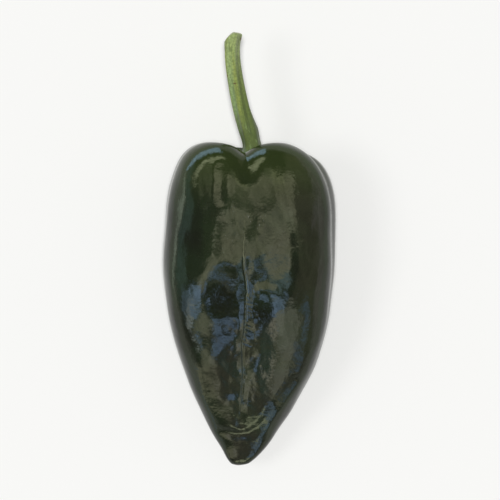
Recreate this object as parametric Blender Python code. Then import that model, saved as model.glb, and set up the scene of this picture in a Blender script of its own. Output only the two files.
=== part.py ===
"""A poblano pepper lying on its side, as picked: the fruit, and its stem with the calyx.

The part rests on the XY plane. +Y runs from the tip to the stem and +Z is up. The fruit lies
with its deep front cleft uppermost. Lengths are in metres.
"""

from collections import namedtuple
from math import pi, radians

import bmesh
import bpy
import numpy as np

MM = 0.001

# Driving sizes of the fruit.
POD_LENGTH = 124.0 * MM
STEM_REACH = 41.2 * MM  # how far the stem stands out past the shoulders
TIP_AT = -(POD_LENGTH + STEM_REACH) / 2  # so that the origin is under the part's middle
POD_AROUND, POD_ALONG = 80, 60  # faces round a section, and from the seat over to the tip

# The fruit's sections, from the calyx seat, over the shoulders and down to the tip. "along" is
# measured up from the tip as a share of the length. The others are millimetres: how far the
# section reaches to the left and right, the heights of its underside and its top, how deep the
# front cleft and the two side seams cut in, and how far the shoulder dips where the cleft
# crosses it. An underside below 0 is pressed flat by what the fruit lies on.
Station = namedtuple("Station", "along left right under over cleft seam dip")
STATIONS = (
    Station(0.930, 1.2, 1.2, 24.0, 24.0, 0.0, 0.0, 0.0),
    Station(0.932, -4.1, 6.5, 18.8, 29.2, 0.0, 0.0, 0.0),
    Station(0.942, -9.0, 11.4, 14.1, 33.9, 0.2, 0.1, 0.2),
    Station(0.970, -12.2, 14.2, 11.5, 36.5, 2.4, 1.4, 2.5),
    Station(0.999, -17.0, 16.2, 8.3, 39.6, 3.8, 1.9, 4.6),
    Station(0.980, -23.6, 22.9, 3.6, 43.9, 3.4, 2.2, 3.3),
    Station(0.925, -28.2, 29.0, 0.8, 46.3, 2.0, 2.1, 0.9),
    Station(0.850, -30.8, 32.4, -0.2, 47.0, 0.9, 1.7, 0.0),
    Station(0.760, -32.0, 33.3, -0.3, 47.3, 0.5, 1.3, 0.0),
    Station(0.670, -33.0, 33.3, -0.3, 47.0, 0.6, 1.1, 0.0),
    Station(0.594, -33.0, 33.0, -0.3, 46.0, 0.9, 0.9, 0.0),
    Station(0.520, -32.1, 31.8, -0.3, 44.2, 1.1, 0.7, 0.0),
    Station(0.446, -30.6, 30.2, 0.2, 41.4, 1.0, 0.5, 0.0),
    Station(0.373, -28.0, 27.6, 1.2, 37.8, 0.8, 0.4, 0.0),
    Station(0.298, -24.8, 24.5, 2.5, 33.6, 0.7, 0.3, 0.0),
    Station(0.225, -21.6, 20.1, 3.9, 29.2, 0.6, 0.2, 0.0),
    Station(0.151, -17.4, 14.9, 5.6, 24.3, 0.4, 0.1, 0.0),
    Station(0.114, -15.1, 11.5, 6.7, 21.6, 0.3, 0.1, 0.0),
    Station(0.077, -12.5, 8.5, 7.8, 18.9, 0.2, 0.0, 0.0),
    Station(0.048, -10.2, 5.7, 8.6, 17.0, 0.2, 0.0, 0.0),
    Station(0.020, -8.6, 2.4, 9.5, 15.4, 0.3, 0.0, 0.0),
    Station(0.002, -6.7, -0.6, 10.6, 13.9, 0.3, 0.0, 0.0),
    Station(-0.002, -4.2, -4.2, 12.2, 12.2, 0.0, 0.0, 0.0),
)
SQUARENESS = 2.35  # 2 would make each section an ellipse
WIDEST = 0.57  # how far up its height a section is widest, as a share
FRONT_CLEFT, LEFT_SEAM, RIGHT_SEAM = radians(90.5), radians(173), radians(12)
LEFT_SHARE = 0.4  # the left seam's depth, as a share of the right one's
CLEFT_FLANK = 4.2 * MM  # how far from a cleft's line its lobes have filled out
CLEFT_ROUND = 0.6 * MM  # the rounding in its bottom
# The back lobe is wider than the front ones and sits to their right, both as shares of the
# depth of the side seams.
SPLAY, LEAN = 0.75, 0.50
BACK_DROP = 0.9  # how much lower its right shoulder is, as a share of the dip
# Slow swellings of the wall: height, waves round the fruit, waves along it, and phase.
SWELLINGS = ((0.35 * MM, 3, 1.6, 0.9), (0.30 * MM, 2, 2.7, 2.6), (0.22 * MM, 5, 2.1, 4.4))

# Driving sizes of the stem and the calyx.
STEM_AROUND, STEM_ALONG = 30, 50
GAP = 0.3 * MM  # between the calyx and the fruit under it
CALYX_RIM = 0.060  # how far up the fruit's own surface the calyx reaches
CALYX_TEETH, TOOTH_SHARE = 5, 0.07
CALYX_THICKNESS = 1.2 * MM
STEM_LINE = (  # from the calyx's middle to the cut end
    (2.2 * MM, 36.5 * MM, 24.2 * MM),
    (1.4 * MM, 41.2 * MM, 24.6 * MM),
    (-0.15 * MM, 45.8 * MM, 25.2 * MM),
    (-2.2 * MM, 52.0 * MM, 26.1 * MM),
    (-4.1 * MM, 59.5 * MM, 27.0 * MM),
    (-5.6 * MM, 67.0 * MM, 28.0 * MM),
    (-6.5 * MM, 74.5 * MM, 28.6 * MM),
    (-6.3 * MM, 81.95 * MM, 28.8 * MM),
)
STEM_RADII = tuple(r * MM for r in (4.1, 3.8, 3.5, 3.18, 2.98, 2.85, 2.82, 2.85))
STEM_RIBS, RIB_SHARE = 5, 0.08
STEM_TWIST, RIB_PHASE = radians(-370), radians(-50)
CUT_BEVEL = 1.1  # how steeply the cut end falls away on its left side
CUT_LIP = 0.22  # how far its right edge stands out, as a share of the radius
CUT_CROWN = 0.8 * MM
# The shares of the stem's rings at which its cut end ends, and its flare, rim and underside begin.
CUT, FLARE, RIM, UNDER = 0.10, 0.66, 0.80, 0.86


def clear_scene():
    """Remove whatever the open scene holds."""
    for obj in list(bpy.data.objects):
        bpy.data.objects.remove(obj, do_unlink=True)


def spline(knots, values, flat_ends):
    """A smooth function through the values. Its ends are level, or else run straight out."""
    knots, values = np.asarray(knots, float), np.asarray(values, float)
    gaps = np.diff(knots)
    rises = np.diff(values) / gaps
    count = len(knots)
    matrix, right = np.zeros((count, count)), np.zeros(count)
    for i in range(1, count - 1):
        matrix[i, i - 1 : i + 2] = gaps[i - 1], 2 * (gaps[i - 1] + gaps[i]), gaps[i]
        right[i] = 6 * (rises[i] - rises[i - 1])
    matrix[0, 0] = matrix[-1, -1] = 1
    if flat_ends:
        matrix[0, :2] = 2 * gaps[0], gaps[0]
        matrix[-1, -2:] = gaps[-1], 2 * gaps[-1]
        right[0], right[-1] = 6 * rises[0], -6 * rises[-1]
    bends = np.linalg.solve(matrix, right)

    def at(t):
        i = np.clip(np.searchsorted(knots, t, side="right") - 1, 0, count - 2)
        left, right_part = t - knots[i], knots[i + 1] - t
        cubic = (bends[i] * right_part**3 + bends[i + 1] * left**3) / (6 * gaps[i])
        near = (values[i] / gaps[i] - bends[i] * gaps[i] / 6) * right_part
        far = (values[i + 1] / gaps[i] - bends[i + 1] * gaps[i] / 6) * left
        return cubic + near + far

    return at


def station_curves():
    """One smooth function of t for each column of STATIONS; t runs evenly from seat to tip."""
    along, *sizes = (np.array(column) for column in zip(*STATIONS))
    along = TIP_AT + along * POD_LENGTH
    sizes = [size * MM for size in sizes]
    left, right, under, over = sizes[:4]
    steps = np.hypot(np.diff(along), np.diff(right - left + over - under) / 4)
    knots = np.concatenate([[0], np.cumsum(steps)]) / steps.sum()
    reaches = [spline(knots, size, flat_ends=False) for size in sizes[:4]]
    depths = [spline(knots, size, flat_ends=True) for size in sizes[4:]]
    return spline(knots, along, flat_ends=True), *reaches, *depths


CURVES = station_curves()


def cleft_at(turn, line, reach):
    """1 on the cleft's line and 0 away from it, with full lobes on both sides."""
    away = np.angle(np.exp(1j * (turn - line))) * np.maximum(reach, 5 * MM)
    return np.exp(-(np.hypot(away, CLEFT_ROUND) - CLEFT_ROUND) / CLEFT_FLANK)


def pod_surface(t, turn):
    """Points of the fruit's skin, for t from the seat to the tip and a turn about its length."""
    along, left, right, under, over, cleft, seam, dip = (curve(t) for curve in CURVES)
    cos, sin = np.cos(turn), np.sin(turn)
    middle = under + (over - under) * WIDEST
    wide, high = (right - left) / 2, np.where(sin > 0, over - middle, middle - under)
    round_off = (np.abs(cos) ** SQUARENESS + np.abs(sin) ** SQUARENESS) ** (-1 / SQUARENESS)
    reach = np.hypot(wide * cos, high * sin) * round_off
    front = cleft_at(turn, FRONT_CLEFT, reach)
    sides = LEFT_SHARE * cleft_at(turn, LEFT_SEAM, reach) + cleft_at(turn, RIGHT_SEAM, reach)
    swell = sum(
        height * np.sin(waves * turn + 2 * pi * rows * t + phase)
        for height, waves, rows, phase in SWELLINGS
    )
    swell = swell * np.sin(pi * np.clip((t - 0.1) / 0.9, 0, 1)) ** 2 * (1 + sin) / 2
    shrink = front * cleft + sides * seam - swell
    x = (left + right) / 2 + wide * cos * round_off - shrink * cos
    x = x - seam * sin * (LEAN + SPLAY * cos)
    z = middle + high * sin * round_off - shrink * sin
    behind = np.clip((0.25 - sin) / 0.5, 0, 1) * (1 + cos) / 2
    y = along - dip * (front + 0.6 * sides + BACK_DROP * behind)
    return np.stack([x, y, z], axis=-1)


def pod_normal(t, turn):
    """The skin's outward direction."""
    step = 1e-4
    t = np.maximum(t, 20 * step)
    down = pod_surface(t + step, turn) - pod_surface(t - step, turn)
    across = pod_surface(t, turn + step) - pod_surface(t, turn - step)
    normal = np.cross(across, down)
    return normal / np.linalg.norm(normal, axis=-1, keepdims=True)


def pulled_sphere(name, around, along, surface, material):
    """A sphere whose every point is moved to surface(t, turn), with its poles at t 0 and 1."""
    bm = bmesh.new()
    bmesh.ops.create_uvsphere(bm, u_segments=around, v_segments=along, radius=1)
    points = np.array([vert.co for vert in bm.verts])
    t = np.arccos(np.clip(-points[:, 2], -1, 1)) / pi
    turn = np.arctan2(points[:, 1], points[:, 0])
    for vert, place in zip(bm.verts, surface(t, turn)):
        vert.co = place
    mesh = bpy.data.meshes.new(name)
    bm.to_mesh(mesh)
    bm.free()
    mesh.shade_smooth()
    mesh.materials.append(material)
    obj = bpy.data.objects.new(name, mesh)
    return obj


def smoothstep(low, high, value):
    share = np.clip((value - low) / (high - low), 0, 1)
    return share * share * (3 - 2 * share)


def stem_curves():
    """The stem's centre line and its radius, as functions of the share of its length."""
    line = np.array(STEM_LINE)
    steps = np.linalg.norm(np.diff(line, axis=0), axis=1)
    knots = np.concatenate([[0], np.cumsum(steps)]) / steps.sum()
    axes = [spline(knots, line[:, axis], flat_ends=False) for axis in range(3)]
    radius = spline(knots, STEM_RADII, flat_ends=False)
    return lambda s: np.stack([axis(s) for axis in axes], axis=-1), radius


STEM_CENTRE, STEM_RADIUS = stem_curves()


def shaft_surface(s, shrink, lift, turn):
    """Points round the shaft at share s of its length, drawn in by shrink and moved up by lift."""
    step = 1e-3
    tangent = STEM_CENTRE(s + step) - STEM_CENTRE(s - step)
    tangent /= np.linalg.norm(tangent, axis=-1, keepdims=True)
    right = np.array([1.0, 0, 0]) - tangent * tangent[..., :1]
    right /= np.linalg.norm(right, axis=-1, keepdims=True)
    up = np.cross(right, tangent)
    ribs = 1 + RIB_SHARE * np.cos(STEM_RIBS * turn - STEM_TWIST * s - RIB_PHASE)
    lip = 1 + CUT_LIP * smoothstep(0.93, 0.99, s) * np.maximum(np.cos(turn), 0) ** 2
    radius = (STEM_RADIUS(s) * ribs * lip * shrink)[..., None]
    cos, sin = np.cos(turn)[..., None], np.sin(turn)[..., None]
    slope = CUT_BEVEL * smoothstep(0.84, 1, s)[..., None] * np.minimum(radius * cos, 0)
    outwards = radius * (right * cos + up * sin)
    return STEM_CENTRE(s) + outwards + tangent * (lift[..., None] + slope)


def stem_surface(share, turn):
    """The stem with its calyx: share runs from the cut end down the shaft, over the calyx's top,
    round its rim and back under it."""
    end = np.clip(share / CUT, 0, 1) * pi / 2
    along = 1 - np.clip((share - CUT) / (RIM - CUT), 0, 1)
    stalk = shaft_surface(along, np.sin(end) ** 0.6, CUT_CROWN * np.cos(end), turn)
    tooth = 1 + TOOTH_SHARE * np.cos(CALYX_TEETH * turn + 0.5)
    drawn = smoothstep(FLARE, RIM, share)
    rim = np.clip((share - RIM) / (UNDER - RIM), 0, 1)
    inward = np.where(share < UNDER, drawn, (1 - share) / (1 - UNDER))
    t = CALYX_RIM * tooth * (inward + 0.03 * np.sin(pi * rim))
    thickness = CALYX_THICKNESS * (1 - smoothstep(0, 1, rim))
    calyx = pod_surface(t, turn) + pod_normal(t, turn) * (GAP + thickness)[..., None]
    return stalk + (calyx - stalk) * drawn[..., None]


def skin(name, colour, roughness):
    material = bpy.data.materials.new(name)
    material.use_nodes = True
    shader = material.node_tree.nodes["Principled BSDF"]
    shader.inputs["Base Color"].default_value = (*colour, 1)
    shader.inputs["Roughness"].default_value = roughness
    shader.inputs["Metallic"].default_value = 0
    return material


def resting_pod(t, turn):
    """The fruit's skin, with a small flat spot where it is pressed by its own weight."""
    points = pod_surface(t, turn)
    points[..., 2] = np.maximum(points[..., 2], 0)
    return points


def main():
    clear_scene()
    collection = bpy.data.collections.new("poblano_pepper")
    bpy.context.scene.collection.children.link(collection)
    dark_green = skin("pod_skin", (0.012, 0.022, 0.008), 0.18)
    light_green = skin("stem_skin", (0.20, 0.28, 0.08), 0.50)
    pod = pulled_sphere("pod", POD_AROUND, POD_ALONG, resting_pod, dark_green)
    stem = pulled_sphere("stem", STEM_AROUND, STEM_ALONG, stem_surface, light_green)
    for obj in (pod, stem):
        collection.objects.link(obj)


if __name__ == "__main__":
    main()
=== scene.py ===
"""The looks of a poblano pepper: its waxy skin, its stem, and the plain studio it lies in.

Each piece is an operator of a small add-on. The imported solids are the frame: the skin and the
stem are made from them, and stay where they are. The scene is in metres, with +Z up and the stem
towards +Y. The tables of places and sizes below are in millimetres, unless they say otherwise.
"""

from collections import namedtuple
from math import pi, radians

import bmesh
import bpy
import numpy as np
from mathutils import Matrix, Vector
from mathutils.bvhtree import BVHTree
from mathutils.kdtree import KDTree


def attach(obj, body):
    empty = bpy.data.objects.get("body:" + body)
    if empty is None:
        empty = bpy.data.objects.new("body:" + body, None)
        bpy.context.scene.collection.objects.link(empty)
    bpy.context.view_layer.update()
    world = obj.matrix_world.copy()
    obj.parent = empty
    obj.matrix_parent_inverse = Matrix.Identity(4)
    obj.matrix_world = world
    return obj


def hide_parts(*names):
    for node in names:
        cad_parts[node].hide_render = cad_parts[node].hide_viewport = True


bl_info = {
    "name": "Poblano Pepper",
    "version": (1, 0, 0),
    "blender": (4, 5, 0),
    "location": "View3D > Sidebar > Pepper",
    "description": "Dresses the solids of a poblano pepper with its skin, stem and studio",
    "category": "Object",
}

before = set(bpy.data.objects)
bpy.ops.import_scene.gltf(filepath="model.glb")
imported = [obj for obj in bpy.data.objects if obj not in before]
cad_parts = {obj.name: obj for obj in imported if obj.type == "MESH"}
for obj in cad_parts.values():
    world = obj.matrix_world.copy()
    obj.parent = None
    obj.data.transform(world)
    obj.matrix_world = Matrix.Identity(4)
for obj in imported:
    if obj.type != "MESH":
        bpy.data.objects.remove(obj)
MM = 0.001
BODY = "root"
SPLITS = 2  # how many times the faces of a solid are split to round it

# The fruit.
TIP = (-4.4, -82.6, 12.2)  # where the style of the flower fell off
LINE_STEP = 0.7  # length of the short steps of a line on the skin
FINER_REACH = 5  # how near to the crease and the brow the skin is split once more
UNEVEN_REACH = 14  # how far from the crease the small undulations are still stronger
PUCKERED = (-36, -14)  # the stretch of the crease with puckers beside it, along Y
PUCKER_LENGTH = 5

# A fold presses the skin in along a line, or lifts it where its depth is negative. A point of
# its line is x, y and how far under the skin it runs: a line that dives makes a fold that fades
# out.
Fold = namedtuple("Fold", "name depth width points")
CREASE = (
    (-1.6, 8, 1.3), (-1.9, 2, 0.7), (-2.0, -3, 0.25), (-1.8, -7, 0), (-1.0, -12, 0),
    (-0.7, -16, 0), (-1.1, -20, 0), (-1.2, -26, 0), (-1.5, -31, 0), (-2.4, -35, 0),
    (-2.3, -41, 0), (-2.0, -47, 0), (-2.6, -54, 0.1), (-3.2, -60, 0.5), (-3.4, -66, 1.0),
)
BROW = (
    (-10, -69.0, 1.0), (-5, -70.6, 0), (0, -70.6, 0), (4, -68, 0), (8, -62, 0), (13, -55, 0.3),
    (17, -49, 1.2),
)
FOLDS = (
    Fold("crease_valley", 0.20, 3.0, CREASE),
    Fold("right_swelling", -0.35, 4.5, ((5.5, -15.5, 0), (8.5, -16.5, 0))),
    Fold("top_hollow", 0.40, 6.0, ((-0.5, 29, 0), (0.5, 32, 0))),
    Fold("left_hollow", 0.60, 8.0, ((-9.5, -11, 0), (-10.5, -20, 0))),
    Fold("left_furrow", 0.12, 3.2, ((-16, 31, 0.4), (-16.2, 24, 0), (-16, 18, 0.4))),
    Fold("middle_furrow", 0.24, 3.5, ((-10.2, 31, 0.4), (-10.4, 25, 0), (-10.2, 19, 0.4))),
    Fold("brow", 0.30, 3.6, BROW),
)

# The stem: its middle line from the calyx to the cut end, and how its ribs wind round it.
STEM_LINE = (
    (2.2, 36.5, 24.2), (1.4, 41.2, 24.6), (-0.15, 45.8, 25.2), (-2.2, 52.0, 26.1),
    (-4.1, 59.5, 27.0), (-5.6, 67.0, 28.0), (-6.5, 74.5, 28.6), (-6.3, 81.95, 28.8),
)
STEM_RIBS = 5
RIB_TWIST, RIB_PHASE = radians(-370), radians(-50)
# Corky specks on the stem: x, y, z, and half their width and length.
BLEMISHES = (
    (-5.1, 63.6, 30.7, 0.7, 0.35), (-8.8, 71.6, 29.4, 0.5, 1.4), (-2.9, 80.6, 29.1, 0.8, 0.6),
    (-7.9, 66.5, 29.6, 0.4, 0.7), (-4.2, 74.0, 29.8, 0.35, 0.25), (-1.0, 50.5, 28.4, 0.3, 0.5),
    (-6.9, 60.0, 25.4, 0.4, 0.8), (-3.9, 69.0, 26.2, 0.5, 0.3),
)

# A soft panel of light or dark round the pepper, which only its mirrored rays see. Seen from
# straight above, the panel's middle is mirrored where the skin falls by u to the right and by v
# towards the stem, for each step of 1 along the floor. Its half sizes are wide and high in the
# same measure, its turn is in degrees, and soft is how wide its edge fades, as a share of its
# size. Its colour is linear light, so it can pass 1.
Panel = namedtuple("Panel", "u v wide high turn soft colour")
WARM, PALE, DIM = (1.5, 1.5, 0.98), (2.8, 3.0, 1.9), (0.62, 0.68, 0.42)
BLUE, STEEL, HAZE, SKY = (1.4, 2.1, 3.05), (0.7, 1.05, 1.4), (0.36, 0.58, 0.52), (1.9, 2.9, 3.7)
BROWN, DARK, BLACK = (0.38, 0.34, 0.27), (0.12, 0.17, 0.08), (0.02, 0.02, 0.02)
PANELS = (
    # the sides, and beyond the stem
    Panel(1.15, 0.20, 0.55, 0.70, 0, 0.30, (0.80, 0.77, 0.68)),
    Panel(0.52, 0.05, 0.16, 0.60, 0, 0.40, (0.42, 0.42, 0.27)),
    Panel(-1.40, 0.05, 0.52, 0.45, 0, 0.20, (1.8, 2.15, 1.7)),
    Panel(-0.70, 0.03, 0.12, 0.33, 4, 0.60, HAZE),
    Panel(-0.70, 0.62, 0.30, 0.19, 22, 0.15, SKY),
    Panel(-0.27, 0.82, 0.20, 0.24, 10, 0.15, SKY),
    Panel(-0.29, 0.305, 0.27, 0.06, 25, 0.30, PALE),
    # a pale panel overhead, with brighter and duller bands
    Panel(0.20, 0.075, 0.265, 0.12, 8, 0.10, WARM),
    Panel(0.15, 0.17, 0.16, 0.028, 0, 0.50, (1.95, 2.05, 1.15)),
    Panel(0.28, 0.02, 0.12, 0.03, 15, 0.50, (1.85, 1.9, 1.3)),
    Panel(0.07, -0.06, 0.16, 0.07, 0, 0.20, WARM),
    Panel(0.13, -0.105, 0.06, 0.025, -10, 0.40, (1.9, 1.9, 1.35)),
    Panel(-0.06, 0.11, 0.160, 0.06, 0, 0.20, WARM),
    Panel(0.03, 0.195, 0.07, 0.030, 0, 0.50, DIM),
    Panel(-0.34, 0.12, 0.05, 0.06, 0, 0.40, DIM),
    Panel(-0.21, -0.005, 0.15, 0.055, 0, 0.25, DARK),
    Panel(-0.05, 0.038, 0.16, 0.024, 0, 0.40, (0.30, 0.34, 0.18)),
    Panel(-0.145, -0.022, 0.025, 0.014, 0, 0.30, (2.3, 2.4, 1.7)),
    Panel(0.24, 0.115, 0.19, 0.011, 4, 0.60, (1.0, 1.05, 0.6)),
    Panel(0.07, 0.085, 0.05, 0.025, 0, 0.60, (0.95, 1.0, 0.6)),
    Panel(0.12, -0.02, 0.06, 0.03, 0, 0.70, (1.0, 1.0, 0.72)),
    Panel(-0.20, -0.15, 0.17, 0.085, 30, 0.25, (1.7, 1.7, 1.15)),
    # a dark panel low in front, ringed by cool ones
    Panel(-0.05, -0.275, 0.12, 0.085, 0, 0.15, BLACK),
    Panel(-0.02, -0.184, 0.12, 0.013, -4, 0.40, BLUE),
    Panel(0.00, -0.235, 0.10, 0.012, 6, 0.40, (0.75, 0.8, 0.62)),
    Panel(0.11, -0.143, 0.06, 0.015, 0, 0.40, (0.7, 1.0, 1.05)),
    Panel(0.19, -0.185, 0.065, 0.035, -25, 0.40, (0.85, 1.25, 1.4)),
    Panel(0.145, -0.33, 0.10, 0.065, -12, 0.25, BLUE),
    Panel(-0.19, -0.27, 0.045, 0.05, 0, 0.40, (1.1, 1.65, 2.4)),
    Panel(-0.20, -0.40, 0.07, 0.03, 0, 0.25, BROWN),
    Panel(-0.075, -0.388, 0.055, 0.037, 5, 0.25, (1.15, 1.75, 2.65)),
    Panel(-0.48, -0.38, 0.07, 0.05, 0, 0.25, (2.2, 2.4, 2.2)),
    Panel(-0.39, -0.305, 0.095, 0.08, 0, 0.25, (1.6, 2.35, 3.3)),
    Panel(-0.58, -0.32, 0.08, 0.05, 0, 0.40, STEEL),
    # brown and pale ones lower still, towards the tip
    Panel(0.00, -0.52, 0.15, 0.085, 0, 0.15, BROWN),
    Panel(0.045, -0.455, 0.055, 0.04, 0, 0.40, (0.28, 0.40, 0.38)),
    Panel(-0.28, -0.47, 0.12, 0.075, 14, 0.20, (1.35, 1.35, 0.95)),
    Panel(-0.42, -0.585, 0.35, 0.035, 12, 0.30, WARM),
    Panel(0.27, -0.43, 0.115, 0.085, 10, 0.20, (1.6, 1.65, 1.3)),
    Panel(0.30, -0.555, 0.20, 0.025, -20, 0.40, (1.2, 1.2, 0.85)),
    Panel(0.12, -0.43, 0.04, 0.03, 0, 0.40, (2.5, 2.4, 1.85)),
    Panel(-0.14, -0.475, 0.045, 0.04, 0, 0.40, (2.5, 2.45, 1.9)),
    Panel(0.00, -0.69, 0.17, 0.05, 0, 0.40, PALE),
    Panel(0.19, -0.63, 0.13, 0.03, -28, 0.30, (1.0, 1.5, 2.0)),
    Panel(0.49, -0.38, 0.05, 0.06, 0, 0.30, STEEL),
    Panel(0.43, -0.52, 0.08, 0.035, -30, 0.30, STEEL),
    Panel(-0.62, -0.85, 0.3, 0.08, -40, 0.3, STEEL),
)

# The studio. The share of a sun is how bright it makes white paint that faces it. Its lean to
# the left and its size are in degrees.
Sun = namedtuple("Sun", "name share lean size")
SUNS = (Sun("overhead", 0.76, 0, 7), Sun("key", 0.10, 33, 20))
FLOOR_REACH = 6.0  # half the floor's width, in metres
BRIGHT_FLOOR, DULL_FLOOR = 90, 170  # mirrored rays see the floor turn into a painted dull glow from the first to the second
CAMERA_RIGHT = 0.38  # how far the lens is to the right of the part's middle
VIEW_HEIGHT = 23.5  # height over the floor where the view's width is measured


def linear(hex_colour):
    """The linear red, green, blue and alpha of an sRGB hex colour."""
    parts = [int(hex_colour[i : i + 2], 16) / 255 for i in (1, 3, 5)]
    return (*(c / 12.92 if c <= 0.04045 else ((c + 0.055) / 1.055) ** 2.4 for c in parts), 1)


def fill(tree, socket, value):
    """Set the socket, or link it to another socket or to the first output in use of a node."""
    if isinstance(value, bpy.types.Node):
        value = next(output for output in value.outputs if output.enabled)
    if isinstance(value, bpy.types.NodeSocket):
        tree.links.new(value, socket)
    else:
        socket.default_value = value


def add_node(tree, kind, inputs=None, **settings):
    """A new node with its settings, and each input filled from a value, a socket or a node."""
    node = tree.nodes.new(kind)
    for name, setting in settings.items():
        setattr(node, name, setting)
    for key, value in (inputs or {}).items():
        fill(tree, node.inputs[key], value)
    return node


def start_material(name):
    """A new material with its tree and its shader."""
    material = bpy.data.materials.new(name)
    material.use_nodes = True
    tree = material.node_tree
    return material, tree, tree.nodes["Principled BSDF"]


# A share that eases from least to most as a value goes from low to high.
Fade = namedtuple("Fade", "value low high least most", defaults=(0.0, 1.0))


def share_of(tree, *fades):
    """The product of the fades' shares."""
    product = None
    for fade in fades:
        share = add_node(
            tree,
            "ShaderNodeMapRange",
            {
                "Value": fade.value,
                "From Min": fade.low,
                "From Max": fade.high,
                "To Min": fade.least,
                "To Max": fade.most,
            },
            interpolation_type="SMOOTHSTEP",
        )
        if product is None:
            product = share
        else:
            product = add_node(
                tree, "ShaderNodeMath", {0: product, 1: share}, operation="MULTIPLY"
            )
    return product


def lay_colours(tree, colour, layers):
    """The colour with the layers laid over it in turn, each a colour and the fades it follows."""
    for upper, *fades in layers:
        colour = add_node(
            tree,
            "ShaderNodeMix",
            {"Factor": share_of(tree, *fades), 6: colour, 7: upper},
            data_type="RGBA",
        )
    return colour


def colour_property(name, hex_colour, description):
    return bpy.props.FloatVectorProperty(
        name=name,
        description=description,
        subtype="COLOR",
        size=4,
        min=0,
        max=1,
        default=linear(hex_colour),
    )


def length_property(name, millimetres, description):
    return bpy.props.FloatProperty(
        name=name, description=description, unit="LENGTH", precision=5, default=millimetres * MM
    )


class FruitSettings(bpy.types.PropertyGroup):
    """The sizes and colours of the fruit's skin."""

    flesh: colour_property("Flesh green", "#1e2618", "Colour of most of the skin")
    shade: colour_property("Dark green", "#1a1d14", "Colour of the darker clouds in the skin")
    shoulder: colour_property("Shoulder green", "#2c3619", "Colour round the shoulders")
    # This colour is a painted highlight: the pale line painted along the crease.
    crease_highlight: colour_property("Cork", "#646650", "Colour of the fine corky line in the crease")
    scar: colour_property("Scar", "#5f4a35", "Colour of the dried scar at the tip")
    swell: length_property("Swell", 2.0, "Height of the slow swellings of the wall")
    swell_size: length_property("Swell size", 14.0, "Width of a slow swelling")
    dimple: length_property("Dimple", 0.55, "Height of the small undulations")
    dimple_size: length_property("Dimple size", 5.6, "Width of a small undulation")
    crease: length_property("Crease", 0.22, "Depth of the crease down the front")
    crease_width: length_property("Crease width", 0.8, "Half the width of the crease")
    pucker: length_property("Pucker", 0.07, "Depth of the short grooves beside the crease")
    pucker_width: length_property("Pucker width", 0.8, "Half the width of a short groove")
    pucker_gap: length_property("Pucker gap", 1.9, "Distance between the short grooves")


class StemSettings(bpy.types.PropertyGroup):
    """The sizes and colours of the stem and its calyx."""

    # The left, middle and right colours are painted light and shade: the side towards the light,
    # the side facing up, and the shaded side.
    painted_lit_side: colour_property("Left side", "#8ea66c", "Colour of the side towards the light")
    middle: colour_property("Middle", "#86974f", "Colour of the side that faces up")
    right: colour_property("Right side", "#63723b", "Colour of the other side")
    fresh: colour_property("Fresh end", "#bccb8e", "Colour that the stem turns to near its cut end")
    # Ridge is a painted highlight along the crests of the ribs on the lit side; groove is painted
    # shade between the ribs on the shaded side, and also darkens the mottles.
    painted_crest_highlight: colour_property("Ridge", "#929c50", "Colour along the crests of the ribs")
    groove: colour_property("Groove", "#46522b", "Colour between the ribs")
    foot: colour_property("Foot", "#4d5a36", "Colour of the foot and the calyx")
    cut: colour_property("Cut", "#b3b98b", "Colour of the cut end")
    blemish: colour_property("Blemish", "#54391f", "Colour of the corky specks")
    rib: length_property("Rib", 0.10, "How much the five ribs are raised further")
    thread: length_property("Thread", 0.035, "Height of the fine threads along the stem")
    threads: bpy.props.IntProperty(
        name="Threads", description="Number of fine threads round the stem", default=17, min=3
    )


class StudioSettings(bpy.types.PropertyGroup):
    """The floor and the camera."""

    floor: colour_property("Floor", "#f6f6f4", "Colour of the floor")
    camera_height: length_property("Camera height", 1500.0, "Height of the lens over the floor")
    view_width: length_property("View width", 190.75, "Width of the view at mid height")


def smooth_copy(node, name):
    """The node's mesh as one closed skin of four-sided faces, rounded by subdivision."""
    bm = bmesh.new()
    bm.from_mesh(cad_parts[node].data)
    bmesh.ops.remove_doubles(bm, verts=bm.verts, dist=0.001 * MM)
    bmesh.ops.join_triangles(
        bm,
        faces=bm.faces,
        angle_face_threshold=radians(180),
        angle_shape_threshold=radians(180),
        topology_influence=1.3,
    )
    mesh = bpy.data.meshes.new(name)
    bm.to_mesh(mesh)
    bm.free()
    mesh.materials.clear()
    obj = bpy.data.objects.new(name, mesh)
    bpy.context.scene.collection.objects.link(obj)
    finer = obj.modifiers.new("finer", "SUBSURF")
    finer.levels = finer.render_levels = SPLITS
    bake_modifiers(obj)
    return obj


def bake_modifiers(obj):
    """Replace the object's mesh by what its modifiers make of it."""
    depsgraph = bpy.context.evaluated_depsgraph_get()
    mesh = bpy.data.meshes.new_from_object(obj.evaluated_get(depsgraph))
    obj.modifiers.clear()
    obj.data = mesh
    mesh.shade_smooth()


def refine_near(obj, lines, reach):
    """Split the faces within reach of the lines once more, keeping the skin round."""
    bm = bmesh.new()
    bm.from_mesh(obj.data)
    near = set()
    for line in lines:
        places = KDTree(len(line.data.vertices))
        for vert in line.data.vertices:
            places.insert(vert.co, vert.index)
        places.balance()
        near.update(v for v in bm.verts if places.find(v.co)[2] < reach)
    edges = [edge for edge in bm.edges if near.issuperset(edge.verts)]
    bmesh.ops.subdivide_edges(bm, edges=edges, cuts=1, use_grid_fill=True, smooth=1.0)
    bm.to_mesh(obj.data)
    bm.free()
    obj.data.shade_smooth()


def line_object(name, verts):
    """An object of straight edges from each point to the next."""
    mesh = bpy.data.meshes.new(name)
    mesh.from_pydata(verts, [(i, i + 1) for i in range(len(verts) - 1)], [])
    line = bpy.data.objects.new(name, mesh)
    bpy.context.scene.collection.objects.link(line)
    return line


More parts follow.
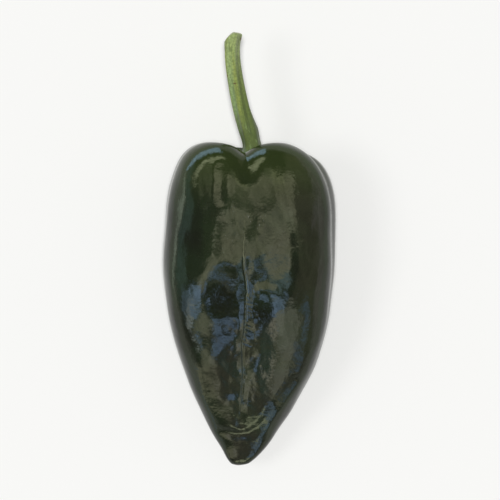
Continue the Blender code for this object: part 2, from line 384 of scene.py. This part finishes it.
def skin_line(skin, name, points):
    """A line of short straight steps through the points, laid on the skin from above."""
    surface = BVHTree.FromObject(skin, bpy.context.evaluated_depsgraph_get())
    knots = np.array(points, float)
    lengths = np.linalg.norm(np.diff(knots[:, :2], axis=0), axis=1)
    places = np.concatenate([[0], np.cumsum(lengths)])
    steps = np.linspace(0, places[-1], int(places[-1] / LINE_STEP) + 2)
    path = np.stack([np.interp(steps, places, knots[:, axis]) for axis in range(3)], axis=1)
    verts = []
    for x, y, sink in path * MM:
        hit = surface.ray_cast(Vector((x, y, 1)), Vector((0, 0, -1)))[0]
        verts.append(hit - Vector((0, 0, sink)))
    return line_object(name, verts)


def start_tree(name, sockets):
    """A geometry tree with the named inputs, and the outputs of its first node."""
    tree = bpy.data.node_groups.new(name, "GeometryNodeTree")
    tree.interface.new_socket("Geometry", in_out="INPUT", socket_type="NodeSocketGeometry")
    for label, kind in {**sockets, "Material": "Material"}.items():
        tree.interface.new_socket(label, in_out="INPUT", socket_type="NodeSocket" + kind)
    tree.interface.new_socket("Geometry", in_out="OUTPUT", socket_type="NodeSocketGeometry")
    return tree, add_node(tree, "NodeGroupInput").outputs


def end_tree(tree, geometry, material):
    """Realize the instances, set the material and pass the result on."""
    whole = add_node(tree, "GeometryNodeRealizeInstances", {"Geometry": geometry})
    dressed = add_node(
        tree, "GeometryNodeSetMaterial", {"Geometry": whole, "Material": material}
    )
    add_node(tree, "NodeGroupOutput", {"Geometry": dressed})
    return tree


def stack_tree(obj, tree, values):
    """Put the tree on the object as a modifier, with its inputs set from the named values."""
    modifier = obj.modifiers.new(tree.name, "NODES")
    modifier.node_group = tree
    for item in tree.interface.items_tree:
        if item.in_out == "INPUT" and item.name in values:
            modifier[item.identifier] = values[item.name]


def move_along_normal(tree, geometry, height):
    """The geometry moved out along its normals by the height."""
    normal = add_node(tree, "GeometryNodeInputNormal").outputs["Normal"]
    offset = add_node(tree, "ShaderNodeVectorMath", {0: normal, "Scale": height}, operation="SCALE")
    return add_node(tree, "GeometryNodeSetPosition", {"Geometry": geometry, "Offset": offset})


def edges_of(tree, line):
    """The edges of the object that is given as a line."""
    return add_node(tree, "GeometryNodeObjectInfo", {"Object": line}).outputs["Geometry"]


def nearest_on(tree, edges):
    """Each point's place, its nearest place on the edges, and how far that is."""
    place = add_node(tree, "GeometryNodeInputPosition").outputs["Position"]
    near = add_node(
        tree,
        "GeometryNodeProximity",
        {"Geometry": edges, "Source Position": place},
        target_element="EDGES",
    ).outputs
    return place, near["Position"], near["Distance"]


def undulation_tree():
    """Slow swellings of the wall with small undulations on them, both longer along the fruit.
    The small ones are strongest beside the crease. All stop before the calyx, and are weaker
    at the tip and round the sides."""
    sizes = ("Swell", "Swell Size", "Dimple", "Dimple Size", "Reach")
    tree, given = start_tree("undulation", {"Line": "Object", **dict.fromkeys(sizes, "Float")})
    place, _, distance = nearest_on(tree, edges_of(tree, given["Line"]))
    stretched = add_node(
        tree, "ShaderNodeVectorMath", {0: place, 1: (1, 0.6, 1)}, operation="MULTIPLY"
    )
    beside = share_of(tree, Fade(distance, given["Reach"], 0.0, 0.55, 1.5))
    relief = 0.0
    for name, detail, share in (("Swell", 0.0, 1.0), ("Dimple", 1.0, beside)):
        scale = add_node(
            tree, "ShaderNodeMath", {0: 1.0, 1: given[name + " Size"]}, operation="DIVIDE"
        )
        noise = add_node(
            tree, "ShaderNodeTexNoise", {"Vector": stretched, "Scale": scale, "Detail": detail}
        )
        centred = add_node(tree, "ShaderNodeMath", {0: noise, 1: 0.5}, operation="SUBTRACT")
        raised = add_node(
            tree, "ShaderNodeMath", {0: centred, 1: given[name]}, operation="MULTIPLY"
        )
        relief = add_node(
            tree, "ShaderNodeMath", {0: raised, 1: share, 2: relief}, operation="MULTIPLY_ADD"
        )
    y = add_node(tree, "ShaderNodeSeparateXYZ", {0: place}).outputs["Y"]
    normal = add_node(tree, "GeometryNodeInputNormal").outputs["Normal"]
    upward = add_node(tree, "ShaderNodeSeparateXYZ", {0: normal}).outputs["Z"]
    for fade in (
        Fade(y, 40 * MM, 22 * MM),  # none at the calyx
        Fade(y, -72 * MM, -55 * MM, 0.4),  # weaker at the tip
        Fade(upward, 0.2, 0.7, 0.45),  # and round the sides
    ):
        relief = add_node(
            tree, "ShaderNodeMath", {0: relief, 1: share_of(tree, fade)}, operation="MULTIPLY"
        )
    moved = move_along_normal(tree, given["Geometry"], relief)
    return end_tree(tree, moved, given["Material"])


def press_lines(tree, given, distance):
    """The given geometry pressed in by its Depth where the distance is 0, out to its Width."""
    inward = add_node(tree, "ShaderNodeMath", {0: given["Depth"], 1: -1.0}, operation="MULTIPLY")
    share = share_of(tree, Fade(distance, given["Width"], 0.0))
    height = add_node(tree, "ShaderNodeMath", {0: share, 1: inward}, operation="MULTIPLY")
    return move_along_normal(tree, given["Geometry"], height)


def fold_tree():
    """One fold of the skin along a line."""
    tree, given = start_tree("fold", {"Line": "Object", "Depth": "Float", "Width": "Float"})
    _, _, distance = nearest_on(tree, edges_of(tree, given["Line"]))
    return end_tree(tree, press_lines(tree, given, distance), given["Material"])


def mark_tree():
    """How far each point is to the right of the line, kept as the attribute beside_crease."""
    tree, given = start_tree("mark", {"Line": "Object"})
    place, nearest, distance = nearest_on(tree, edges_of(tree, given["Line"]))
    across = add_node(tree, "ShaderNodeVectorMath", {0: place, 1: nearest}, operation="SUBTRACT")
    to_right = add_node(tree, "ShaderNodeSeparateXYZ", {0: across}).outputs["X"]
    side = add_node(tree, "ShaderNodeMath", {0: to_right}, operation="SIGN")
    beside = add_node(tree, "ShaderNodeMath", {0: distance, 1: side}, operation="MULTIPLY")
    marked = add_node(
        tree,
        "GeometryNodeStoreNamedAttribute",
        {"Geometry": given["Geometry"], "Name": "beside_crease", "Value": beside},
        data_type="FLOAT",
        domain="POINT",
    )
    return end_tree(tree, marked, given["Material"])


def pucker_tree():
    """Short grooves that leave the crease at a spacing, each at its own angle."""
    sizes = ("Depth", "Width", "Gap", "Length")
    tree, given = start_tree("pucker", {"Line": "Object", **dict.fromkeys(sizes, "Float")})
    curve = add_node(tree, "GeometryNodeMeshToCurve", {0: edges_of(tree, given["Line"])})
    starts = add_node(
        tree, "GeometryNodeCurveToPoints", {"Curve": curve, "Length": given["Gap"]}, mode="LENGTH"
    )
    length = add_node(tree, "ShaderNodeCombineXYZ", {"X": given["Length"]})
    groove = add_node(tree, "GeometryNodeCurvePrimitiveLine", {"End": length})
    turn, size = (
        add_node(
            tree,
            "FunctionNodeRandomValue",
            {0: least, 1: most, "Seed": seed},
            data_type="FLOAT_VECTOR",
        )
        for least, most, seed in (
            ((0.0, 0.0, radians(-65)), (0.0, 0.0, radians(-5)), 5),
            ((0.5, 0.5, 0.5), (1.4, 1.0, 1.0), 8),
        )
    )
    grooves = add_node(
        tree,
        "GeometryNodeInstanceOnPoints",
        {"Points": starts, "Instance": groove, "Rotation": turn, "Scale": size},
    )
    realized = add_node(tree, "GeometryNodeRealizeInstances", {"Geometry": grooves})
    mesh = add_node(tree, "GeometryNodeCurveToMesh", {"Curve": realized})
    _, _, distance = nearest_on(tree, mesh)
    return end_tree(tree, press_lines(tree, given, distance), given["Material"])


def poblano_skin(fruit):
    """The waxy skin of a ripe green poblano: nearly black green, very glossy, with a fine
    pebbled grain that breaks up the edges of reflections."""
    material, tree, shader = start_material("poblano_skin")
    place = add_node(tree, "ShaderNodeTexCoord").outputs["Object"]
    y = add_node(tree, "ShaderNodeSeparateXYZ", {0: place}).outputs["Y"]
    # widths in millimetres: the real grain is finer than shows, and is drawn 0.9 mm wide
    clouds, grain, pebbles = (
        add_node(
            tree,
            "ShaderNodeTexNoise",
            {"Vector": place, "Scale": 1 / (size * MM), "Detail": detail},
        )
        for size, detail in ((14, 3.0), (0.9, 2.0), (2.4, 1.0))
    )
    cloudy = add_node(
        tree, "ShaderNodeMapRange", {"Value": clouds, "From Min": 0.38, "From Max": 0.62}
    )
    green = add_node(
        tree,
        "ShaderNodeMix",
        {"Factor": cloudy, 6: fruit.shade, 7: fruit.flesh},
        data_type="RGBA",
    )
    beside = add_node(tree, "ShaderNodeAttribute", attribute_name="beside_crease").outputs["Fac"]
    off_crease = add_node(tree, "ShaderNodeMath", {0: beside}, operation="ABSOLUTE")
    # a painted highlight: a fine pale line along the crease, standing in for the light it catches
    painted_crease_highlight = (
        Fade(off_crease, 0.30 * MM, 0.12 * MM),  # a fine line
        Fade(clouds, 0.42, 0.56, 0.25, 0.8),  # that is broken
        Fade(y, -50 * MM, -34 * MM),  # and ends before the tip
    )
    layers = ((fruit.shoulder, Fade(y, 14 * MM, 38 * MM)), (fruit.crease_highlight, *painted_crease_highlight))
    colour = lay_colours(tree, green, layers)
    # the scar at the tip is about 2 mm across
    tip = [c * MM for c in TIP]
    to_tip = add_node(tree, "ShaderNodeVectorMath", {0: place, 1: tip}, operation="DISTANCE")
    scarred = add_node(
        tree,
        "ShaderNodeMapRange",
        {"Value": to_tip, "From Min": 1.3 * MM, "From Max": 0.7 * MM},
    )
    colour = add_node(
        tree, "ShaderNodeMix", {"Factor": scarred, 6: colour, 7: fruit.scar}, data_type="RGBA"
    )
    roughness = add_node(
        tree,
        "ShaderNodeMapRange",
        {"Value": grain, "From Min": 0.3, "From Max": 0.7, "To Min": 0.09, "To Max": 0.15},
    )
    pebbled = add_node(tree, "ShaderNodeBump", {"Height": pebbles, "Distance": 0.05 * MM})
    bump = add_node(
        tree, "ShaderNodeBump", {"Height": grain, "Distance": 0.03 * MM, "Normal": pebbled}
    )
    fill(tree, shader.inputs["Base Color"], colour)
    fill(tree, shader.inputs["Roughness"], roughness)
    fill(tree, shader.inputs["Normal"], bump)
    shader.inputs["IOR"].default_value = 1.48  # a plant's wax
    return material


class PEPPER_OT_skin(bpy.types.Operator):
    """Make the fruit's skin: one closed, undulating surface with the crease down its front"""

    bl_idname = "pepper.skin"
    bl_label = "Fruit skin"

    def execute(self, context):
        fruit = context.scene.pepper_fruit
        material = poblano_skin(fruit)
        skin = smooth_copy("pod", "pepper_skin")
        lines = [skin_line(skin, "crease", CREASE), skin_line(skin, "brow", BROW)]
        refine_near(skin, lines, FINER_REACH * MM)
        values = {
            "Line": lines[0],
            "Reach": UNEVEN_REACH * MM,
            "Swell": fruit.swell,
            "Swell Size": fruit.swell_size,
            "Dimple": fruit.dimple,
            "Dimple Size": fruit.dimple_size,
            "Material": material,
        }
        stack_tree(skin, undulation_tree(), values)
        bake_modifiers(skin)
        tree = fold_tree()
        for fold in FOLDS:
            line = skin_line(skin, fold.name, fold.points)
            lines.append(line)
            values = {"Line": line, "Depth": fold.depth * MM, "Width": fold.width * MM}
            stack_tree(skin, tree, {**values, "Material": material})
        bake_modifiers(skin)
        crease = skin_line(skin, "crease", CREASE)
        first, last = PUCKERED
        stretch = [point for point in CREASE if first < point[1] < last]
        puckered = skin_line(skin, "puckered", stretch)
        lines += [crease, puckered]
        values = {
            "Line": puckered,
            "Depth": fruit.pucker,
            "Width": fruit.pucker_width,
            "Gap": fruit.pucker_gap,
            "Length": PUCKER_LENGTH * MM,
            "Material": material,
        }
        stack_tree(skin, pucker_tree(), values)
        values = {"Line": crease, "Depth": fruit.crease, "Width": fruit.crease_width}
        stack_tree(skin, tree, {**values, "Material": material})
        stack_tree(skin, mark_tree(), {"Line": crease, "Material": material})
        bake_modifiers(skin)
        for line in lines:
            bpy.data.objects.remove(line, do_unlink=True)
        keep_above_floor(skin)
        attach(skin, BODY)
        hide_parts("pod")
        return {"FINISHED"}


def keep_above_floor(obj):
    """Lift what the relief pushed under the floor back to it."""
    for vert in obj.data.vertices:
        vert.co.z = max(vert.co.z, 0.0)


def rib_tree():
    """The five ribs raised a little further, with fine threads along them. How a point lies to
    the stem's middle line is kept as the attributes facing, rib and along."""
    sizes = ("Start", "End", "Twist", "Phase", "Rib", "Thread")
    counts = dict.fromkeys(("Ribs", "Threads"), "Int")
    sockets = {"Line": "Object", **counts, **dict.fromkeys(sizes, "Float")}
    tree, given = start_tree("ribs", sockets)
    curve = add_node(tree, "GeometryNodeMeshToCurve", {0: edges_of(tree, given["Line"])})
    rounded = add_node(
        tree, "GeometryNodeCurveSplineType", {"Curve": curve}, spline_type="CATMULL_ROM"
    )
    fine = add_node(tree, "GeometryNodeResampleCurve", {"Curve": rounded, "Count": 90})
    middle = add_node(tree, "GeometryNodeCurveToMesh", {"Curve": fine})
    place, near, _ = nearest_on(tree, middle)
    away = add_node(tree, "ShaderNodeVectorMath", {0: place, 1: near}, operation="SUBTRACT")
    facing = add_node(tree, "ShaderNodeVectorMath", {0: away}, operation="NORMALIZE")
    parts = add_node(tree, "ShaderNodeSeparateXYZ", {0: facing}).outputs
    around = add_node(tree, "ShaderNodeMath", {0: parts["Z"], 1: parts["X"]}, operation="ARCTAN2")
    y = add_node(tree, "ShaderNodeSeparateXYZ", {0: near}).outputs["Y"]
    along = add_node(
        tree,
        "ShaderNodeMapRange",
        {"Value": y, "From Min": given["Start"], "From Max": given["End"]},
    )
    twist = add_node(tree, "ShaderNodeMath", {0: along, 1: given["Twist"]}, operation="MULTIPLY")
    turns = add_node(tree, "ShaderNodeMath", {0: around, 1: given["Ribs"]}, operation="MULTIPLY")
    turned = add_node(tree, "ShaderNodeMath", {0: turns, 1: given["Phase"]}, operation="SUBTRACT")
    wander = add_node(tree, "ShaderNodeTexNoise", {"Vector": place, "Scale": 1 / (5 * MM)})
    fine_turns = add_node(
        tree,
        "ShaderNodeMath",
        {0: around, 1: given["Threads"], 2: wander},
        operation="MULTIPLY_ADD",
    )
    rib, thread = (
        add_node(
            tree,
            "ShaderNodeMath",
            {0: add_node(tree, "ShaderNodeMath", {0: angle, 1: twist}, operation="SUBTRACT")},
            operation="COSINE",
        )
        for angle in (turned, fine_turns)
    )
    ribs = add_node(tree, "ShaderNodeMath", {0: rib, 1: given["Rib"]}, operation="MULTIPLY")
    relief = add_node(
        tree, "ShaderNodeMath", {0: thread, 1: given["Thread"], 2: ribs}, operation="MULTIPLY_ADD"
    )
    on_shaft = share_of(tree, Fade(along, 0.05, 0.2))
    height = add_node(tree, "ShaderNodeMath", {0: relief, 1: on_shaft}, operation="MULTIPLY")
    geometry = given["Geometry"]
    kept = (("facing", facing, "FLOAT_VECTOR"), ("rib", rib, "FLOAT"), ("along", along, "FLOAT"))
    for name, value, kind in kept:
        geometry = add_node(
            tree,
            "GeometryNodeStoreNamedAttribute",
            {"Geometry": geometry, "Name": name, "Value": value},
            data_type=kind,
            domain="POINT",
        )
    return end_tree(tree, move_along_normal(tree, geometry, height), given["Material"])


def green_stem(stem):
    """The fibrous green stem: satin, with painted light and shade (lit on the left and shaded on
    the right, a painted highlight on the lit crests and painted shade in the darker grooves), fine
    streaks along it, a dull dark foot and a few corky specks."""
    material, tree, shader = start_material("green_stem")
    place = add_node(tree, "ShaderNodeTexCoord").outputs["Object"]
    facing = add_node(tree, "ShaderNodeAttribute", attribute_name="facing").outputs["Vector"]
    rib = add_node(tree, "ShaderNodeAttribute", attribute_name="rib").outputs["Fac"]
    along = add_node(tree, "ShaderNodeAttribute", attribute_name="along").outputs["Fac"]
    # how far a point faces right, away from the light: it sets where the painted shade falls
    right = add_node(tree, "ShaderNodeSeparateXYZ", {0: facing}).outputs["X"]
    normal = add_node(tree, "ShaderNodeNewGeometry").outputs["Normal"]
    endwise = add_node(tree, "ShaderNodeSeparateXYZ", {0: normal}).outputs["Y"]
    # streaks: noise that is drawn out along the stem
    length = add_node(tree, "ShaderNodeMath", {0: along, 1: 12.0}, operation="MULTIPLY")
    lengthwise = add_node(tree, "ShaderNodeCombineXYZ", {"Y": length})
    streak_place = add_node(
        tree,
        "ShaderNodeVectorMath",
        {0: facing, 1: (5.0, 1.0, 5.0), 2: lengthwise},
        operation="MULTIPLY_ADD",
    )
    streaks = add_node(
        tree, "ShaderNodeTexNoise", {"Vector": streak_place, "Scale": 1.0, "Detail": 3.0}
    )
    mottles = add_node(
        tree, "ShaderNodeTexNoise", {"Vector": place, "Scale": 1 / (0.9 * MM), "Detail": 2.0}
    )
    layers = [
        # painted light and shade: the lit colour on the left side, shaded towards the right, and
        # fresher towards the cut
        (stem.middle, Fade(right, -0.7, -0.1)),
        (stem.right, Fade(right, -0.05, 0.5)),
        (stem.fresh, Fade(along, 0.35, 1.0, 0.0, 0.5)),
        # painted highlight on the crests of the ribs on the left, and painted shade in the grooves
        # between them on the right
        (stem.painted_crest_highlight, Fade(rib, 0.2, 0.9, 0.0, 0.75), Fade(right, 0.5, 0.0)),
        (
            stem.groove,
            Fade(rib, -0.35, -0.85),
            Fade(right, -0.3, 0.2),
            Fade(along, 0.95, 0.25, 0.15, 0.9),
        ),
        # the dull foot, then dark and light streaks, then mottles
        (stem.foot, Fade(along, 0.48, 0.14, 0.0, 0.85)),
        (stem.right, Fade(streaks, 0.45, 0.68, 0.0, 0.55)),
        (stem.painted_lit_side, Fade(streaks, 0.42, 0.3, 0.0, 0.45)),
        (stem.groove, Fade(mottles, 0.35, 0.65, 0.42, 0.0)),
    ]
    # the mottles make the edges of the corky specks ragged
    ragged = add_node(
        tree,
        "ShaderNodeVectorMath",
        {0: mottles.outputs["Color"], 1: (0.6 * MM, 0.6 * MM, 0.6 * MM), 2: place},
        operation="MULTIPLY_ADD",
    )
    for x, y, z, wide, high in BLEMISHES:
        local = add_node(
            tree,
            "ShaderNodeMapping",
            {
                "Vector": ragged,
                "Location": (x * MM, y * MM, z * MM),
                "Scale": (wide * MM, high * MM, wide * MM),
            },
            vector_type="TEXTURE",
        )
        off = add_node(tree, "ShaderNodeVectorMath", {0: local}, operation="LENGTH")
        layers.append((stem.blemish, Fade(off, 1.2, 0.6, 0.0, 0.85)))
    layers.append((stem.cut, Fade(endwise, 0.5, 0.8), Fade(along, 0.8, 0.9)))
    # the painted lit side is the base colour under all the layers
    colour = lay_colours(tree, stem.painted_lit_side, layers)
    roughness = share_of(tree, Fade(mottles, 0.3, 0.7, 0.38, 0.58))
    threads = add_node(tree, "ShaderNodeBump", {"Height": streaks, "Distance": 0.12 * MM})
    bump = add_node(
        tree, "ShaderNodeBump", {"Height": mottles, "Distance": 0.05 * MM, "Normal": threads}
    )
    fill(tree, shader.inputs["Base Color"], colour)
    fill(tree, shader.inputs["Roughness"], roughness)
    fill(tree, shader.inputs["Normal"], bump)
    return material


class PEPPER_OT_stem(bpy.types.Operator):
    """Make the stem with its ribs and the calyx at its foot"""

    bl_idname = "pepper.stem"
    bl_label = "Stem"

    def execute(self, context):
        settings = context.scene.pepper_stem
        stem = smooth_copy("stem", "pepper_stem")
        points = [[c * MM for c in point] for point in STEM_LINE]
        line = line_object("stem_middle", points)
        values = {
            "Line": line,
            "Ribs": STEM_RIBS,
            "Threads": settings.threads,
            "Start": points[0][1],
            "End": points[-1][1],
            "Twist": RIB_TWIST,
            "Phase": RIB_PHASE,
            "Rib": settings.rib,
            "Thread": settings.thread,
            "Material": green_stem(settings),
        }
        stack_tree(stem, rib_tree(), values)
        bake_modifiers(stem)
        bpy.data.objects.remove(line, do_unlink=True)
        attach(stem, BODY)
        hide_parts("stem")
        return {"FINISHED"}


def studio_light(world):
    """Plain soft light from all round. Mirrored rays see the panels instead, in front of a dark
    green above and a pale one near the floor, with slow changes of strength."""
    world.use_nodes = True
    world.cycles.sampling_method = "NONE"  # its plain part is too even to need sampling
    tree = world.node_tree
    tree.nodes.clear()
    direction = add_node(tree, "ShaderNodeTexCoord").outputs["Generated"]
    parts = add_node(tree, "ShaderNodeSeparateXYZ", {0: direction}).outputs
    above = add_node(tree, "ShaderNodeMath", {0: parts["Z"], 1: 1.0}, operation="ADD")
    slopes = {
        axis: add_node(tree, "ShaderNodeMath", {0: parts[axis], 1: above}, operation="DIVIDE")
        for axis in "XY"
    }
    flat = add_node(tree, "ShaderNodeCombineXYZ", slopes)
    layers = [((0.80, 0.85, 0.70, 1), Fade(parts["Z"], 0.3, 0.0))]
    for panel in PANELS:
        local = add_node(
            tree,
            "ShaderNodeMapping",
            {
                "Vector": flat,
                "Location": (panel.u, panel.v, 0),
                "Rotation": (0, 0, radians(panel.turn)),
                "Scale": (panel.wide, panel.high, 1),
            },
            vector_type="TEXTURE",
        )
        # the length of the squares makes a rectangle with round corners
        squares = add_node(tree, "ShaderNodeVectorMath", {0: local, 1: local}, operation="MULTIPLY")
        size = add_node(tree, "ShaderNodeVectorMath", {0: squares}, operation="LENGTH")
        layers.append(((*panel.colour, 1), Fade(size, 1 + panel.soft, 1 - panel.soft)))
    seen = lay_colours(tree, (0.07, 0.08, 0.07, 1), layers)
    uneven = add_node(tree, "ShaderNodeTexNoise", {"Vector": flat, "Scale": 16.0, "Detail": 3.0})
    strength = add_node(
        tree,
        "ShaderNodeMapRange",
        {"Value": uneven, "From Min": 0.4, "From Max": 0.6, "To Min": 0.62, "To Max": 1.35},
    )
    seen = add_node(tree, "ShaderNodeVectorMath", {0: seen, "Scale": strength}, operation="SCALE")
    mirrored = add_node(tree, "ShaderNodeLightPath").outputs["Is Glossy Ray"]
    colour = add_node(
        tree,
        "ShaderNodeMix",
        {"Factor": mirrored, 6: (0.18, 0.18, 0.18, 1), 7: seen},
        data_type="RGBA",
    )
    background = add_node(tree, "ShaderNodeBackground", {"Color": colour})
    add_node(tree, "ShaderNodeOutputWorld", {"Surface": background})


def painted_board(studio):
    """Matt white paint on a board: pale and even, with no gloss. Far from the pepper, mirrored rays
    see a dull glow in its place: a painted reflection, darker than the lit paint."""
    material, tree, shader = start_material("painted_board")
    shader.inputs["Base Color"].default_value = studio.floor
    shader.inputs["Roughness"].default_value = 0.8
    shader.inputs["Specular IOR Level"].default_value = 0.0
    place = add_node(tree, "ShaderNodeTexCoord").outputs["Object"]
    away = add_node(tree, "ShaderNodeVectorMath", {0: place}, operation="LENGTH")
    far = share_of(tree, Fade(away, BRIGHT_FLOOR * MM, DULL_FLOOR * MM))
    mirrored = add_node(tree, "ShaderNodeLightPath").outputs["Is Glossy Ray"]
    share = add_node(tree, "ShaderNodeMath", {0: far, 1: mirrored}, operation="MULTIPLY")
    # a painted reflection: a glow that mirrored rays see in place of the far floor
    painted_reflection_glow = add_node(tree, "ShaderNodeEmission", {"Color": (0.72, 0.78, 0.65, 1)})
    mixed = add_node(tree, "ShaderNodeMixShader", {0: share, 1: shader, 2: painted_reflection_glow})
    fill(tree, tree.nodes["Material Output"].inputs["Surface"], mixed)
    return material


class PEPPER_OT_studio(bpy.types.Operator):
    """Lay the pale floor, light it softly and aim the camera straight down"""

    bl_idname = "pepper.studio"
    bl_label = "Studio"

    def execute(self, context):
        scene, studio = context.scene, context.scene.pepper_studio
        mesh = bpy.data.meshes.new("floor")
        corners = ((-1, -1), (1, -1), (1, 1), (-1, 1))
        verts = [(x * FLOOR_REACH, y * FLOOR_REACH, 0) for x, y in corners]
        mesh.from_pydata(verts, [], [(0, 1, 2, 3)])
        mesh.materials.append(painted_board(studio))
        floor = bpy.data.objects.new("floor", mesh)
        scene.collection.objects.link(floor)
        scene.world = bpy.data.worlds.new("studio")
        studio_light(scene.world)
        for sun in SUNS:
            light = bpy.data.lights.new(sun.name, "SUN")
            light.energy = sun.share * pi
            light.angle = radians(sun.size)
            lamp = bpy.data.objects.new(sun.name, light)
            lamp.rotation_euler = (0, -radians(sun.lean), 0)
            lamp.visible_glossy = False
            scene.collection.objects.link(lamp)
        lens = bpy.data.cameras.new("camera")
        distance = studio.camera_height - VIEW_HEIGHT * MM
        lens.lens = lens.sensor_width * distance / studio.view_width
        lens.clip_start = 0.05
        lens.clip_end = 20
        camera = bpy.data.objects.new("camera", lens)
        camera.location = (CAMERA_RIGHT * MM, 0, studio.camera_height)
        scene.collection.objects.link(camera)
        scene.camera = camera
        scene.view_settings.view_transform = "Standard"
        return {"FINISHED"}


STEPS = (
    (PEPPER_OT_skin, "pepper_fruit", FruitSettings),
    (PEPPER_OT_stem, "pepper_stem", StemSettings),
    (PEPPER_OT_studio, "pepper_studio", StudioSettings),
)


class PEPPER_PT_panel(bpy.types.Panel):
    """Lists the pepper's operators with their settings"""

    bl_idname = "PEPPER_PT_panel"
    bl_label = "Pepper"
    bl_space_type = "VIEW_3D"
    bl_region_type = "UI"
    bl_category = "Pepper"

    def draw(self, context):
        for operator, name, group in STEPS:
            self.layout.operator(operator.bl_idname)
            settings = getattr(context.scene, name)
            for setting in group.__annotations__:
                self.layout.prop(settings, setting)


def register():
    for operator, name, group in STEPS:
        bpy.utils.register_class(group)
        setattr(bpy.types.Scene, name, bpy.props.PointerProperty(type=group))
        bpy.utils.register_class(operator)
    bpy.utils.register_class(PEPPER_PT_panel)


def unregister():
    bpy.utils.unregister_class(PEPPER_PT_panel)
    for operator, name, group in STEPS:
        bpy.utils.unregister_class(operator)
        delattr(bpy.types.Scene, name)
        bpy.utils.unregister_class(group)


def main():
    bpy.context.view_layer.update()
    register()
    bpy.ops.pepper.skin()
    bpy.ops.pepper.stem()
    bpy.ops.pepper.studio()


if __name__ == "__main__":
    main()
